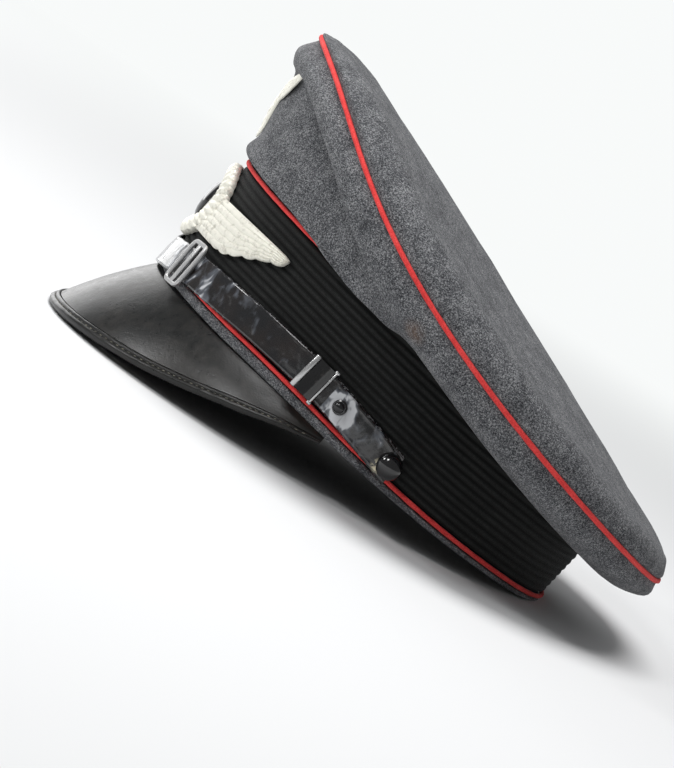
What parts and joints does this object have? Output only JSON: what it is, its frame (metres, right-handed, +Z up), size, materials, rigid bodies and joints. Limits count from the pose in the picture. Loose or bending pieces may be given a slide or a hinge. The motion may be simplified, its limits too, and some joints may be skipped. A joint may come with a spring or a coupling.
{
  "type": "peaked cap",
  "caption": "Cloth peaked cap with a ribbed band, cord piping, downturned leather peak, buckled chin strap and plain winged badges.",
  "frame": {"origin": "middle of the cap's bounding box, on the floor that it stands on", "axes": "-Y to the peak, +X to the wearer's left, +Z up; the cap stands on the peak's front edge and the back of the welt, so its band leans back"},
  "size_m": [0.243, 0.2832, 0.1564],
  "materials": {
    "wool": "grey-blue mottled wool",
    "felt_piping": "red felt cord",
    "ribbed_band": "black ribbed mohair",
    "peak_leather": "worn black, satin",
    "strap_leather": "creased black lacquer",
    "dark_metal": "worn black paint over steel",
    "button_lacquer": "gloss black",
    "badge_metal": "matt silver white"
  },
  "bodies": {
    "root": {"crown_top": "wool", "crown_side": "wool", "crown_piping": "felt_piping", "band": "ribbed_band", "band_upper_piping": "felt_piping", "band_lower_piping": "felt_piping", "lower_welt": "wool", "peak": "peak_leather", "peak_binding": "peak_leather", "chin_strap": "strap_leather", "strap_end_left": "strap_leather", "strap_end_right": "strap_leather", "front_buckle_left": "dark_metal", "front_buckle_right": "dark_metal", "keeper_left": "dark_metal", "keeper_right": "dark_metal", "strap_stud_left": "dark_metal", "strap_stud_right": "dark_metal", "side_button_left": "button_lacquer", "side_button_right": "button_lacquer", "upper_badge": "badge_metal", "lower_badge": "badge_metal", "lower_badge_wing_left": "badge_metal", "lower_badge_wing_right": "badge_metal", "badge_boss": "dark_metal"}
  },
  "joints": []
}
